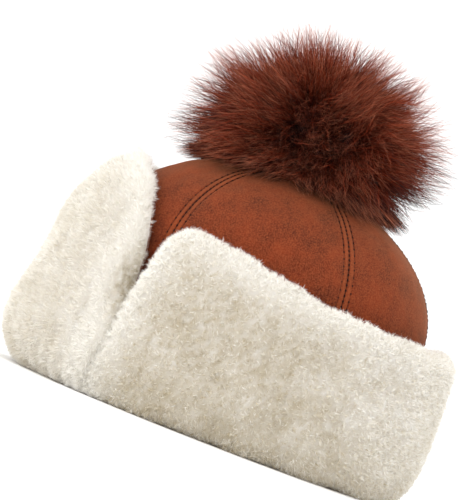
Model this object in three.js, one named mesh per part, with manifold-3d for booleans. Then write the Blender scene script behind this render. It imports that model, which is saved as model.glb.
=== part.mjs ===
// A pom-pom hat of double-face sheepskin. Six suede panels, wool side in, make the crown. A tall
// front flap and a long ear flap are turned up round it, wool side out, and meet in a V slit
// over each temple. A long-haired fur pom-pom sits on a hidden post at the top.
// Millimetres, +Z up. The wearer faces -Y. The origin is the middle of the footprint, on the
// surface that the hat rests on.
import * as THREE from "three";
import { mergeVertices } from "three/addons/utils/BufferGeometryUtils.js";
import Module from "manifold-3d";

const wasm = await Module();
wasm.setup();

// The crown is oval in plan, with an upright wall and an elliptical dome on it.
const CROWN = {
  halfLength: 103.5, // centre to the suede, front to back
  halfWidth: 96.5, // centre to the suede, side to side
  wall: 9, // hide and wool together
  bottomZ: 17,
  springZ: 91, // where the wall turns into the dome
  domeRise: 70.5,
};

const PANELS = {
  count: 6,
  seamGap: 0.4, // between neighbours
  seamDip: 1.4, // how far an edge is drawn in at its seam
  dipReach: 2.5, // how far from the seam that is felt
  fullness: 1.5, // how far a panel swells between its seams
  topHole: 5, // radius left open round the pom-pom's post
  wallRows: 3,
  domeRows: 8,
  columns: [0, 0.025, 0.1, 0.3, 0.5, 0.7, 0.9, 0.975, 1], // share of the way from seam to seam
};

// What both flaps share. Out is the distance outside the suede, square to it.
const FLAP = {
  hideOut: 2.5, // the hide's inner face, clear of the swelling panels
  hideFromZ: 18, // where that face starts
  footOut: { innerEnd: -8.5, flatFrom: -5, flatTo: 6 }, // the fold that runs in under the crown
  footTopZ: 15,
  footEndZ: { wool: 5, hide: 10 }, // the fold's rounded inner end
  rollHeight: 28, // of the rounded outer side of the fold
  rollRows: 3,
  bodyRows: 5,
  lipRows: 3,
  lipMiddle: 0.42, // where the top edge's crest is, as a share of the thickness
  lipHeight: 0.55, // of the rounded top edge, as a share of the thickness
  endRound: 13, // how far from its ends a flap's thickness starts to close
  endShare: 0.3, // the share of the thickness that is left there
  endPress: 0.4, // where between hide and wool the closed end lies
  crowding: 0.35, // share of the columns' spacing that crowds them towards the ends
  tuft: 2.2, // how far the longest tuft of wool stands off the pile
  tuftLeast: 0.5, // the shortest tuft, as a share of that
  tuftDroop: 1.4, // how far its tip hangs down
};

// The flap over the forehead, from its middle to one end, and its thickness on the way up.
const FRONT_FLAP = {
  name: "front_flap",
  middle: 0, // degrees round from the front
  slitSide: "front", // the column of the slit's table that its ends follow
  columns: 22,
  cornerReach: 46, // the rounding of a top corner, along the flap
  cornerDrop: 42, // and down its end
  topLine: [
    { turn: 0, z: 132 },
    { turn: 60, z: 131 },
  ],
  thickness: [
    { z: 0, out: 26.5 },
    { z: 38, out: 27.4 },
    { z: 74, out: 23.5 },
    { z: 104, out: 19 },
    { z: 131, out: 16 },
  ],
};

// The flap over the ears and the nape, the same way. Its ends stand highest.
const EAR_FLAP = {
  name: "ear_flap",
  middle: 180,
  slitSide: "ear",
  columns: 42,
  cornerReach: 20,
  cornerDrop: 15,
  topLine: [
    { turn: 0, z: 93 },
    { turn: 55, z: 94.5 },
    { turn: 75, z: 98 },
    { turn: 90, z: 101 },
    { turn: 100, z: 105.5 },
    { turn: 125, z: 109.5 },
  ],
  thickness: [
    { z: 0, out: 23.6 },
    { z: 38, out: 24.6 },
    { z: 80, out: 22 },
    { z: 110, out: 20 },
  ],
};

// The slit over each temple, in degrees round from the front: where each flap ends at a height.
// The ends touch low down and part into a V above.
const SLIT = [
  { z: 0, front: 52.2, ear: 53 },
  { z: 48, front: 58.4, ear: 59.2 },
  { z: 66, front: 58.4, ear: 60.2 },
  { z: 84, front: 58, ear: 62.4 },
  { z: 102, front: 57, ear: 65.5 },
  { z: 135, front: 54, ear: 70 },
];

// The pom-pom's outer form is half an ellipsoid above its middle and half a taller one below,
// cut off where it lies on the crown.
const POM_POM = {
  middleZ: 184,
  radius: 71.5,
  rise: 56,
  fall: 90,
  head: 0.84, // size of the solid head under the locks, as a share of the whole
  locks: 144,
  lockRoot: 0.45, // where a lock starts inside the head, as a share of its reach
  lockWaist: 0.78, // where it is widest
  lockRadius: 8,
  lockBend: 3, // how far its tip leans aside
  shortest: 0.96, // reach of the shortest lock and of the longest, as shares of the outer form
  longest: 1.05,
  lowest: -0.62, // no lock points further down than this
  bore: 3.7,
};

// The hidden post that carries the pom-pom, and its button inside the crown.
const POST = {
  radius: 3,
  topZ: 174,
  buttonRadius: 12,
  buttonThickness: 2,
  buttonTopZ: 151,
};
const CLEAR = 0.6; // between the pom-pom and the panels under it

const SUEDE = new THREE.MeshStandardMaterial({ color: 0x8f4525, roughness: 0.95, metalness: 0 });
const WOOL = new THREE.MeshStandardMaterial({ color: 0xe9e2d2, roughness: 1, metalness: 0 });
const FUR = new THREE.MeshStandardMaterial({ color: 0x5b2517, roughness: 0.8, metalness: 0 });
const PLASTIC = new THREE.MeshStandardMaterial({ color: 0x3a241b, roughness: 0.5, metalness: 0 });

const lerp = THREE.MathUtils.lerp;
const radians = THREE.MathUtils.degToRad;
const meanRadius = (CROWN.halfLength + CROWN.halfWidth) / 2;

// A repeatable number from 0 to 1 for each whole number.
function chance(n) {
  const wave = Math.sin(n * 12.9898) * 43758.5453;
  return wave - Math.floor(wave);
}

// Straight-line interpolation in a table, by one named column into another.
function readTable(rows, from, to, value) {
  const next = rows.findIndex((row) => row[from] >= value);
  if (next < 0) return rows[rows.length - 1][to];
  if (next === 0) return rows[0][to];
  const low = rows[next - 1];
  const high = rows[next];
  return lerp(low[to], high[to], (value - low[from]) / (high[from] - low[from]));
}

// The angle up the dome of the point whose height is z. It is 0 on the upright wall.
function riseAt(z) {
  return Math.asin(Math.min(1, Math.max(0, (z - CROWN.springZ) / CROWN.domeRise)));
}

// A point outside (or inside) the crown's suede: angle round the head from the front towards
// the wearer's left, the foot point's height on the suede or its angle up the dome, and out.
function crownPoint(angle, z, out, rise = riseAt(z)) {
  const footZ = rise > 0 ? CROWN.springZ + CROWN.domeRise * Math.sin(rise) : z;
  const square = new THREE.Vector2(
    Math.cos(rise) / meanRadius,
    Math.sin(rise) / CROWN.domeRise,
  ).normalize();
  const along = CROWN.halfLength * Math.cos(rise) + out * square.x;
  const across = CROWN.halfWidth * Math.cos(rise) + out * square.x;
  return new THREE.Vector3(
    across * Math.sin(angle),
    -along * Math.cos(angle),
    footZ + out * square.y,
  );
}

// One closed solid through a row of closed loops. A loop runs up one face and down the other, so
// point k faces point k from its end, which is how the first and last loops are closed over.
// tuftAt may raise the middle of a cell of the second face to the point that it returns.
function skinSolid(loops, tuftAt = () => null) {
  const count = loops[0].length;
  const points = loops.flat();
  const faces = [];
  const at = (loop, k) => loop * count + (k % count);
  const addCell = (a, b, c, d, tip) => {
    if (!tip) {
      faces.push(a, b, c, a, c, d);
      return;
    }
    const t = points.push(tip) - 1;
    faces.push(a, b, t, b, c, t, c, d, t, d, a, t);
  };
  for (let i = 0; i + 1 < loops.length; i++) {
    for (let k = 0; k < count; k++) {
      addCell(at(i, k), at(i, k + 1), at(i + 1, k + 1), at(i + 1, k), tuftAt(i, k));
    }
  }
  const last = loops.length - 1;
  for (let k = 0; k + 1 < count / 2; k++) {
    addCell(at(0, k), at(0, count - 1 - k), at(0, count - 2 - k), at(0, k + 1));
    addCell(at(last, k), at(last, k + 1), at(last, count - 2 - k), at(last, count - 1 - k));
  }
  const geometry = new THREE.BufferGeometry().setFromPoints(points);
  geometry.setIndex(faces);
  return geometry;
}

// A mesh with its material, from an indexed or loose geometry.
function piece(name, geometry, material) {
  const mesh = new THREE.Mesh(geometry, material);
  mesh.name = name;
  mesh.geometry.computeVertexNormals();
  return mesh;
}

// The geometry as a solid that can be joined and cut.
function toSolid(geometry) {
  const bare = new THREE.BufferGeometry();
  const loose = geometry.index ? geometry.toNonIndexed() : geometry;
  bare.setAttribute("position", loose.getAttribute("position"));
  const merged = mergeVertices(bare, 1e-3);
  return new wasm.Manifold(
    new wasm.Mesh({
      numProp: 3,
      vertProperties: merged.attributes.position.array,
      triVerts: new Uint32Array(merged.index.array),
    }),
  );
}

function toGeometry(solid) {
  const mesh = solid.getMesh();
  const geometry = new THREE.BufferGeometry();
  geometry.setAttribute("position", new THREE.BufferAttribute(mesh.vertProperties, 3));
  geometry.setIndex(new THREE.BufferAttribute(mesh.triVerts, 1));
  return geometry;
}

// One gore of the crown, from one seam to the next. It swells a little between its seams and
// is drawn in along them, and inside it is smooth.
function crownPanel(index) {
  const topRise = Math.acos(PANELS.topHole / meanRadius);
  const rises = [];
  for (let k = 0; k <= PANELS.domeRows; k++) rises.push((topRise * k) / PANELS.domeRows);
  const wallHeights = [];
  for (let k = 0; k < PANELS.wallRows; k++) {
    wallHeights.push(lerp(CROWN.bottomZ, CROWN.springZ, k / PANELS.wallRows));
  }
  const stations = [
    ...wallHeights.map((z) => ({ z, rise: 0 })),
    ...rises.map((rise) => ({ z: CROWN.springZ, rise })),
  ];
  const width = (2 * Math.PI) / PANELS.count;
  const loops = PANELS.columns.map((share) => {
    const column = (out) =>
      stations.map(({ z, rise }) => {
        const radius = meanRadius * Math.cos(rise);
        const trim = PANELS.seamGap / 2 / radius;
        const angle = index * width + trim + share * (width - 2 * trim);
        const fromSeam = Math.min(share, 1 - share) * width * radius;
        const dip = PANELS.seamDip * Math.exp(-((fromSeam / PANELS.dipReach) ** 2));
        const swell = PANELS.fullness * Math.sin(Math.PI * share) * Math.cos(rise);
        return crownPoint(angle, z, out ?? swell - dip, rise);
      });
    return [...column(-CROWN.wall), ...column().reverse()];
  });
  return piece("crown_panel_" + (index + 1), skinSolid(loops), SUEDE);
}

// The section of a turned-up flap, as rows from the fold's inner end to the top edge. Each row
// has a point on the hide's face and one on the wool's, as distance outside the suede and height.
function flapRows(top, shape) {
  const thickAt = (z) => readTable(shape.thickness, "z", "out", z);
  const { innerEnd, flatFrom, flatTo } = FLAP.footOut;
  const lipHeight = FLAP.lipHeight * thickAt(top);
  const bodyTop = top - lipHeight;
  const rows = [
    { hide: [innerEnd, FLAP.footEndZ.hide], wool: [innerEnd, FLAP.footEndZ.wool] },
    { hide: [flatFrom, FLAP.footTopZ], wool: [flatFrom, 0] },
    { hide: [0, FLAP.footTopZ], wool: [flatTo, 0] },
  ];
  for (let k = 1; k <= FLAP.rollRows; k++) {
    const turn = (k / FLAP.rollRows) * (Math.PI / 2);
    const z = FLAP.rollHeight * (1 - Math.cos(turn));
    const out = lerp(flatTo, thickAt(z), Math.sin(turn));
    const hideZ = lerp(FLAP.hideFromZ, FLAP.rollHeight, (k - 1) / FLAP.rollRows);
    rows.push({ hide: [FLAP.hideOut, hideZ], wool: [out, z] });
  }
  for (let k = 1; k <= FLAP.bodyRows; k++) {
    const z = lerp(FLAP.rollHeight, bodyTop, k / FLAP.bodyRows);
    rows.push({ hide: [FLAP.hideOut, z], wool: [thickAt(z), z] });
  }
  const crest = lerp(FLAP.hideOut, thickAt(top), FLAP.lipMiddle);
  for (let k = 1; k <= FLAP.lipRows; k++) {
    const turn = (k / (FLAP.lipRows + 0.5)) * (Math.PI / 2);
    const z = bodyTop + lipHeight * Math.sin(turn);
    rows.push({
      hide: [lerp(crest, FLAP.hideOut, Math.cos(turn)), z],
      wool: [lerp(crest, thickAt(bodyTop), Math.cos(turn)), z],
    });
  }
  return rows;
}

// Degrees from a flap's middle to its end at a height.
function flapEnd(shape, z) {
  return Math.abs(shape.middle - readTable(SLIT, "z", shape.slitSide, z));
}

// A turned-up flap, mirrored about its middle. Its ends are rounded in height and thickness,
// and its wool stands in tufts.
function turnedFlap(shape) {
  const half = shape.columns / 2;
  const loops = [];
  for (let column = -half; column <= half; column++) {
    const side = Math.sign(column);
    const even = Math.abs(column) / half;
    const share = lerp(even, Math.sin((even * Math.PI) / 2), FLAP.crowding);
    const baseEnd = flapEnd(shape, 0);
    const fromEnd = radians(baseEnd) * (1 - share) * (meanRadius + shape.thickness[0].out / 2);
    const corner = Math.max(0, 1 - fromEnd / shape.cornerReach);
    const top = readTable(shape.topLine, "turn", "z", baseEnd * share) -
      shape.cornerDrop * (1 - Math.sqrt(1 - corner * corner));
    const close = Math.max(0, 1 - fromEnd / FLAP.endRound);
    const fill = Math.max(FLAP.endShare, Math.sqrt(1 - close * close));
    const place = ([out, z], middleOut) => {
      const angle = radians(shape.middle + side * share * flapEnd(shape, z));
      return crownPoint(angle, z, lerp(middleOut, out, fill));
    };
    const rows = flapRows(top, shape).map(({ hide, wool }) => {
      const middleOut = lerp(hide[0], wool[0], FLAP.endPress);
      return { hide: place(hide, middleOut), wool: place(wool, middleOut) };
    });
    loops.push([...rows.map((row) => row.hide), ...rows.map((row) => row.wool).reverse()]);
  }
  const count = loops[0].length;
  const onWool = (k) => k >= count / 2 && k < count - 4;
  const tuftAt = (i, k) => {
    if (!onWool(k)) return null;
    const corners = [loops[i][k], loops[i][k + 1], loops[i + 1][k + 1], loops[i + 1][k]];
    const centre = new THREE.Vector3();
    corners.forEach((corner) => centre.addScaledVector(corner, 0.25));
    const normal = new THREE.Vector3().crossVectors(
      corners[2].clone().sub(corners[0]),
      corners[3].clone().sub(corners[1]),
    ).normalize();
    const n = i * count + k;
    centre.addScaledVector(normal, FLAP.tuft * lerp(FLAP.tuftLeast, 1, chance(n)));
    centre.z -= FLAP.tuftDroop * chance(n + 0.5) * (centre.z > FLAP.rollHeight ? 1 : 0);
    return centre;
  };
  return piece(shape.name, skinSolid(loops, tuftAt), WOOL);
}

// Where the pom-pom's outer form is, in a direction from its middle.
function pomPomReach(direction) {
  const height = direction.z > 0 ? POM_POM.rise : POM_POM.fall;
  const wide = Math.hypot(direction.x, direction.y) / POM_POM.radius;
  return 1 / Math.hypot(wide, direction.z / height);
}

// One pointed lock of fur: a four-sided spindle from inside the head to a tip that leans aside.
function furLock(direction, length, seed) {
  const side = new THREE.Vector3(-direction.y, direction.x, 0);
  if (side.lengthSq() < 1e-6) side.set(1, 0, 0);
  side.normalize();
  const other = new THREE.Vector3().crossVectors(direction, side);
  const spin = 2 * Math.PI * chance(seed);
  const place = (along, turn, aside) =>
    direction.clone().multiplyScalar(along * length)
      .addScaledVector(side, Math.cos(turn) * aside)
      .addScaledVector(other, Math.sin(turn) * aside);
  const points = [place(POM_POM.lockRoot, 0, 0)];
  const faces = [];
  for (let k = 0; k < 4; k++) {
    points.push(place(POM_POM.lockWaist, spin + (k * Math.PI) / 2, POM_POM.lockRadius));
    const next = (k + 1) % 4;
    faces.push(0, 1 + next, 1 + k, 1 + k, 1 + next, 5);
  }
  points.push(place(1, spin, POM_POM.lockBend));
  const geometry = new THREE.BufferGeometry().setFromPoints(points);
  geometry.setIndex(faces);
  return geometry;
}

// The pom-pom: pointed locks in an even spiral all over a solid head, lying on the crown below
// and bored for the post.
function pomPom() {
  const head = new THREE.SphereGeometry(1, 20, 14);
  head.rotateX(Math.PI / 2);
  const spots = head.getAttribute("position");
  const spot = new THREE.Vector3();
  for (let k = 0; k < spots.count; k++) {
    spot.fromBufferAttribute(spots, k).normalize();
    spot.multiplyScalar(pomPomReach(spot) * POM_POM.head);
    spots.setXYZ(k, spot.x, spot.y, spot.z);
  }
  const goldenTurn = Math.PI * (3 - Math.sqrt(5));
  const solids = [toSolid(head)];
  for (let k = 0; k < POM_POM.locks; k++) {
    const z = lerp(1, POM_POM.lowest, (k + 0.5) / POM_POM.locks);
    const wide = Math.sqrt(1 - z * z);
    const turn = k * goldenTurn;
    const direction = new THREE.Vector3(wide * Math.cos(turn), wide * Math.sin(turn), z);
    const length = pomPomReach(direction) * lerp(POM_POM.shortest, POM_POM.longest, chance(k));
    solids.push(toSolid(furLock(direction, length, k + 0.25)));
  }
  const whole = wasm.Manifold.union(solids).translate([0, 0, POM_POM.middleZ]);
  const lift = PANELS.fullness + CLEAR;
  const crown = new THREE.SphereGeometry(1, 40, 28);
  crown.rotateX(Math.PI / 2);
  crown.scale(CROWN.halfWidth + lift, CROWN.halfLength + lift, CROWN.domeRise + lift);
  crown.translate(0, 0, CROWN.springZ);
  const boreLength = 2 * (POST.topZ + 1 - CROWN.springZ);
  const bore = new THREE.CylinderGeometry(POM_POM.bore, POM_POM.bore, boreLength, 12);
  bore.rotateX(Math.PI / 2);
  bore.translate(0, 0, CROWN.springZ);
  return piece("pom_pom", toGeometry(whole.subtract(toSolid(crown)).subtract(toSolid(bore))), FUR);
}

// The hidden post that the pom-pom is pushed on, with its button inside the crown.
function pomPost() {
  const buttonBottom = POST.buttonTopZ - POST.buttonThickness;
  const profile = [
    new THREE.Vector2(0, buttonBottom),
    new THREE.Vector2(POST.buttonRadius, buttonBottom),
    new THREE.Vector2(POST.buttonRadius, POST.buttonTopZ),
    new THREE.Vector2(POST.radius, POST.buttonTopZ),
    new THREE.Vector2(POST.radius, POST.topZ),
    new THREE.Vector2(0, POST.topZ),
  ];
  const post = new THREE.LatheGeometry(profile, 16);
  post.rotateX(Math.PI / 2);
  return piece("pom_post", toGeometry(toSolid(post)), PLASTIC);
}

const hat = new THREE.Group();
for (let index = 0; index < PANELS.count; index++) hat.add(crownPanel(index));
hat.add(turnedFlap(FRONT_FLAP), turnedFlap(EAR_FLAP));
hat.add(pomPost(), pomPom());

export default hat;
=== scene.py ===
"""A pom-pom hat of double-face sheepskin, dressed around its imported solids.

The crown is six suede panels with wool inside. A tall front flap and a long ear flap are
turned up round it, wool side out, and a long-haired fur pom-pom stands on top. Metres, +Z
up. The wearer faces -Y. Angles run round the head from the front towards the wearer's left.
"""

from __future__ import annotations

import logging
import math
from dataclasses import dataclass, field
from enum import Enum
from typing import NamedTuple, Union

import bpy
import numpy as np
from mathutils import Matrix, Vector

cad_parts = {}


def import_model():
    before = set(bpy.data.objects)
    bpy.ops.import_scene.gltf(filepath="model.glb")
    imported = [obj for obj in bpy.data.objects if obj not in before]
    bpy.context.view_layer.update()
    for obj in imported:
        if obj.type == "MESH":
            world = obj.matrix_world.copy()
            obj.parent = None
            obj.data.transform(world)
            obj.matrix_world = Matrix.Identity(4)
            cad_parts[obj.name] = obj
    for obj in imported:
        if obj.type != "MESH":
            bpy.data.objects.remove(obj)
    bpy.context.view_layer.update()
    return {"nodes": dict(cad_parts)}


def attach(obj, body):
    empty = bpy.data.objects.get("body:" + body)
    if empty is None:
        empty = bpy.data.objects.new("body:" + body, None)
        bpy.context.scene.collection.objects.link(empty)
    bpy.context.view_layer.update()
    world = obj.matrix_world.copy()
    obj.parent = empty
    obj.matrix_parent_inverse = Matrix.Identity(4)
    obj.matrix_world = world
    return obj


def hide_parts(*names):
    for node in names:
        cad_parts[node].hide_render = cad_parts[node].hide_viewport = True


LOG = logging.getLogger("hat")
MM = 0.001
UP = np.array([0.0, 0.0, 1.0])
FLOOR_GAP = 0.3 * MM  # how far above the floor the lowest fibre stays

Value = Union[float, int, str, tuple, bpy.types.NodeSocket]


class Lie(Enum):
    """How the pile of a wool side lies."""

    COMBED = "combed"
    CURLY = "curly"


class Habit(NamedTuple):
    """How the fibres of a pile lean and bend, and how uneven it is for it."""

    swirl_size: float  # how far apart neighbours lean alike
    swirl: float
    stray: float
    bend: float
    upright: float
    lump: float  # the height of its smallest lumps, in mm
    spread: float  # how much its fibres differ in tone


HABITS = {
    Lie.COMBED: Habit(5.5 * MM, 0.4, 0.28, 0.9, 0.9, lump=0.1, spread=0.09),
    Lie.CURLY: Habit(3.2 * MM, 0.8, 0.35, 1.5, 0.6, lump=0.22, spread=0.2),
}


class SlitRow(NamedTuple):
    """Where the flaps end at the slit, in degrees, and how far in their rounding starts."""

    z: float
    front: float
    ear: float
    front_round: float
    ear_round: float
    share: float  # how much of their thickness the ends keep


class TopRow(NamedTuple):
    """The height of a flap's top edge at a turn away from its middle, in degrees and mm."""

    turn: float
    z: float


class ThickRow(NamedTuple):
    """How far a flap's wool stands outside the suede at a height, in mm."""

    z: float
    out: float


SLIT = (
    SlitRow(0, 54.8, 53.4, 8, 8, 0.88),
    SlitRow(30, 59.7, 58.4, 10, 9, 0.78),
    SlitRow(48, 60.6, 59.7, 12, 10, 0.4),
    SlitRow(58, 59.6, 59.4, 13, 11, 0.14),
    SlitRow(66, 58.8, 60.2, 14, 12, 0.06),
    SlitRow(84, 58, 62.4, 14, 14, 0.06),
    SlitRow(102, 57, 65.5, 14, 14, 0.06),
    SlitRow(120, 55.2, 68, 14, 14, 0.06),
    SlitRow(136, 50.8, 70, 14, 14, 0.06),
)


def read_table(rows: tuple, key: str, value: str, at: np.ndarray) -> np.ndarray:
    """Reads a table by straight-line interpolation between its rows.

    Args:
        rows: the table's rows, in rising order of the key.
        key: the column to look in.
        value: the column to read.
        at: where to read it.

    Returns:
        The values, in the shape of at.
    """
    return np.interp(at, [getattr(r, key) for r in rows], [getattr(r, value) for r in rows])


def unit(vectors: np.ndarray) -> np.ndarray:
    """Vectors of length one in the same directions."""
    return vectors / np.maximum(np.linalg.norm(vectors, axis=-1, keepdims=True), 1e-12)


def blend(low: np.ndarray, high: np.ndarray, share: np.ndarray) -> np.ndarray:
    """The value that lies the given share of the way from low to high."""
    return low + (high - low) * share


def bell(at: np.ndarray, middle: float, reach: float) -> np.ndarray:
    """A smooth bell, 1 at its middle: exp(-s^2) with s the distance from it over its reach."""
    return np.exp(-(((at - middle) / reach) ** 2))


def waves(points: np.ndarray, length: float, seed: int, count: int = 7) -> np.ndarray:
    """Smooth unevenness from about -1 to 1: a sum of plane waves in random directions.

    Args:
        points: places in space, with the three coordinates last.
        length: the waves' mean length in metres.
        seed: chooses the waves.
        count: how many there are.

    Returns:
        One number for each place.
    """
    draw = np.random.default_rng(seed)
    directions = unit(draw.normal(size=(count, 3)))
    lengths = length * draw.uniform(0.7, 1.4, count)
    phases = draw.uniform(0, 2 * np.pi, count)
    turns = points @ (directions / lengths[:, None]).T * 2 * np.pi + phases
    return np.sin(turns).sum(axis=-1) / math.sqrt(count)


def linear(code: str) -> tuple[float, float, float, float]:
    """Turns an sRGB hex colour to the linear values that shaders take.

    Args:
        code: the colour, such as "#9a4f2c".

    Returns:
        Red, green, blue and an alpha of one.
    """
    parts = [int(code[i : i + 2], 16) / 255 for i in (1, 3, 5)]
    red, green, blue = (
        p / 12.92 if p <= 0.04045 else ((p + 0.055) / 1.055) ** 2.4 for p in parts
    )
    return red, green, blue, 1.0


def add_node(
    tree: bpy.types.NodeTree,
    kind: str,
    inputs: dict[Union[str, int], Value] | None = None,
    **settings: Union[str, bool, float],
) -> bpy.types.Node:
    """Adds one node to a tree.

    Args:
        tree: the node tree.
        kind: Blender's name for the node.
        inputs: a value or another node's output for each socket, by its name or number.
        settings: the node's own properties.

    Returns:
        The new node.
    """
    node = tree.nodes.new(kind)
    for name, value in settings.items():
        setattr(node, name, value)
    for name, value in (inputs or {}).items():
        if isinstance(value, bpy.types.NodeSocket):
            tree.links.new(value, node.inputs[name])
        else:
            node.inputs[name].default_value = value
    return node


def new_material(name: str) -> tuple[bpy.types.Material, bpy.types.NodeTree]:
    """Makes an empty node material.

    Args:
        name: the finish's name.

    Returns:
        The material and its node tree.
    """
    material = bpy.data.materials.new(name)
    material.use_nodes = True
    material.node_tree.nodes.clear()
    return material, material.node_tree


# Finishes


@dataclass(frozen=True)
class Suede:
    """Sheepskin suede, drum dyed and buffed: a short matt nap with cloudy colour."""

    name: str = "suede_nap"
    shade: str = "#40140a"
    body: str = "#6c2811"
    worn: str = "#8a4525"
    # painted shade in the seam grooves and in the gaps between panels, and stains on the flaps'
    # hide side
    seam: str = "#1c0805"
    bloom: str = "#e0a070"  # what the nap's sheen is tinted
    cloud_size: float = 16 * MM
    nap_size: float = 0.8 * MM  # drawn coarser than real nap, so that it shows
    nap_height: float = 0.35 * MM
    nap_share: float = 0.75  # how much of the worn colour the nap's ends take
    roughness: float = 0.93
    specular: float = 0.15
    sheen: float = 0.25

    def material(self) -> bpy.types.Material:
        """Cloudy dyed colour, a rubbed tone on the welts, painted shade in the seams, and stains.

        Returns:
            The material. Its colours lie over: clouds, nap, rubbed places, painted shade and
                stains.
        """
        material, tree = new_material(self.name)
        place = add_node(tree, "ShaderNodeTexCoord").outputs["Object"]
        grains = []
        shares = []
        for size, detail, low, most in (
            (self.cloud_size, 5.0, 0.34, 1.0),
            (self.nap_size, 3.0, 0.4, self.nap_share),
        ):
            inputs = {"Vector": place, "Scale": 1 / size, "Detail": detail, "Roughness": 0.7}
            grains.append(add_node(tree, "ShaderNodeTexNoise", inputs).outputs[0])
            inputs = {0: grains[-1], 1: low, 2: 0.66, 3: 0.0, 4: most}
            shares.append(add_node(tree, "ShaderNodeMapRange", inputs).outputs[0])
        # worn welts, then painted shade in the seams together with stains
        for name in ("rub", "soil_and_shade"):
            worn = add_node(tree, "ShaderNodeAttribute", attribute_name=name)
            shares.append(worn.outputs["Fac"])
        colour = linear(self.shade)
        for share, over in zip(shares, (self.body, self.worn, self.worn, self.seam)):
            inputs = {0: share, 6: colour, 7: linear(over)}
            colour = add_node(tree, "ShaderNodeMix", inputs, data_type="RGBA").outputs[2]
        inputs = {"Strength": 0.5, "Distance": self.nap_height, "Height": grains[-1]}
        bump = add_node(tree, "ShaderNodeBump", inputs)
        shader = add_node(
            tree,
            "ShaderNodeBsdfPrincipled",
            {
                "Base Color": colour,
                "Roughness": self.roughness,
                "Specular IOR Level": self.specular,
                "Sheen Weight": self.sheen,
                "Sheen Roughness": 0.5,
                "Sheen Tint": linear(self.bloom),
                "Normal": bump.outputs[0],
            },
        )
        add_node(tree, "ShaderNodeOutputMaterial", {"Surface": shader.outputs[0]})
        return material


@dataclass(frozen=True)
class ShearedWool:
    """Sheared lamb's wool: crimped matt fibres, creamy white, with painted shade down in the pile.
    """

    name: str = "sheared_wool"
    deep: str = "#c6b898"
    pale: str = "#fffefb"
    # painted shade down in the pile, given at each fibre's root
    root: str = "#cfc0a2"
    root_shade_share: float = 0.2  # how much of the root's colour a fibre has at its root
    root_reach: float = 0.6  # how far along a fibre it fades out
    lump_size: float = 1.6 * MM
    lump_height: float = 0.4 * MM
    roughness: float = 0.9
    specular: float = 0.1
    sheen: float = 0.15
    glow: float = 0.45  # the share of light that passes through the thin fibres

    def material(self) -> bpy.types.Material:
        """The pile's tone from its own attribute, with painted shade towards the root of each
        fibre.

        Returns:
            The material.
        """
        material, tree = new_material(self.name)
        place = add_node(tree, "ShaderNodeTexCoord").outputs["Object"]
        tone, along = (
            add_node(tree, "ShaderNodeAttribute", attribute_name=name).outputs["Fac"]
            for name in ("tone", "along")
        )
        inputs = {0: along, 1: 0.0, 2: self.root_reach, 3: self.root_shade_share, 4: 0.0}
        painted_root_shade = add_node(tree, "ShaderNodeMapRange", inputs).outputs[0]
        colour = linear(self.deep)
        for share, over in ((tone, self.pale), (painted_root_shade, self.root)):
            inputs = {0: share, 6: colour, 7: linear(over)}
            colour = add_node(tree, "ShaderNodeMix", inputs, data_type="RGBA").outputs[2]
        inputs = {"Vector": place, "Scale": 1 / self.lump_size, "Detail": 3.0, "Roughness": 0.65}
        lumps = add_node(tree, "ShaderNodeTexNoise", inputs).outputs[0]
        inputs = {"Strength": 0.25, "Distance": self.lump_height, "Height": lumps}
        bump = add_node(tree, "ShaderNodeBump", inputs)
        skin = add_node(
            tree,
            "ShaderNodeBsdfPrincipled",
            {
                "Base Color": colour,
                "Roughness": self.roughness,
                "Specular IOR Level": self.specular,
                "Sheen Weight": self.sheen,
                "Normal": bump.outputs[0],
            },
        )
        through = add_node(tree, "ShaderNodeBsdfTranslucent", {"Color": colour})
        inputs = {0: self.glow, 1: skin.outputs[0], 2: through.outputs[0]}
        shader = add_node(tree, "ShaderNodeMixShader", inputs)
        add_node(tree, "ShaderNodeOutputMaterial", {"Surface": shader.outputs[0]})
        return material


@dataclass(frozen=True)
class DyedFur:
    """Long fox-like fur, dyed red brown: glossy hairs, dark at the root, some tipped black."""

    name: str = "dyed_fur"
    root: str = "#0c0201"
    body: str = "#481408"
    upper: str = "#ae4526"
    pale_tip: str = "#d68a6a"
    black_tip: str = "#0a0607"
    black_reach: float = 0.14  # how much further down a black tip starts
    roughness: float = 0.45
    specular: float = 0.25
    glow: float = 0.2  # the share of light that passes through the hairs

    def material(self) -> bpy.types.Material:
        """Colour runs from root to tip, varied by each hair's tone and tip attributes.

        Returns:
            The material.
        """
        material, tree = new_material(self.name)
        tone, along, tip = (
            add_node(tree, "ShaderNodeAttribute", attribute_name=name).outputs["Fac"]
            for name in ("tone", "along", "tip")
        )
        ends = []
        for share, low, high in (
            (tone, self.body, self.upper),
            (tip, self.pale_tip, self.black_tip),
        ):
            inputs = {0: share, 6: linear(low), 7: linear(high)}
            ends.append(add_node(tree, "ShaderNodeMix", inputs, data_type="RGBA").outputs[2])
        inputs = {0: tip, 1: self.black_reach, 2: along}
        sooner = add_node(tree, "ShaderNodeMath", inputs, operation="MULTIPLY_ADD").outputs[0]
        colour = linear(self.root)
        for gone, start, stop, most, over in (
            (along, 0.3, 0.85, 1.0, ends[0]),
            (sooner, 0.74, 1.0, 0.95, ends[1]),
        ):
            inputs = {0: gone, 1: start, 2: stop, 3: 0.0, 4: most}
            share = add_node(tree, "ShaderNodeMapRange", inputs).outputs[0]
            inputs = {0: share, 6: colour, 7: over}
            colour = add_node(tree, "ShaderNodeMix", inputs, data_type="RGBA").outputs[2]
        gloss = add_node(
            tree,
            "ShaderNodeBsdfPrincipled",
            {
                "Base Color": colour,
                "Roughness": self.roughness,
                "Specular IOR Level": self.specular,
            },
        )
        through = add_node(tree, "ShaderNodeBsdfTranslucent", {"Color": colour})
        inputs = {0: self.glow, 1: gloss.outputs[0], 2: through.outputs[0]}
        shader = add_node(tree, "ShaderNodeMixShader", inputs)
        add_node(tree, "ShaderNodeOutputMaterial", {"Surface": shader.outputs[0]})
        return material


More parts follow.
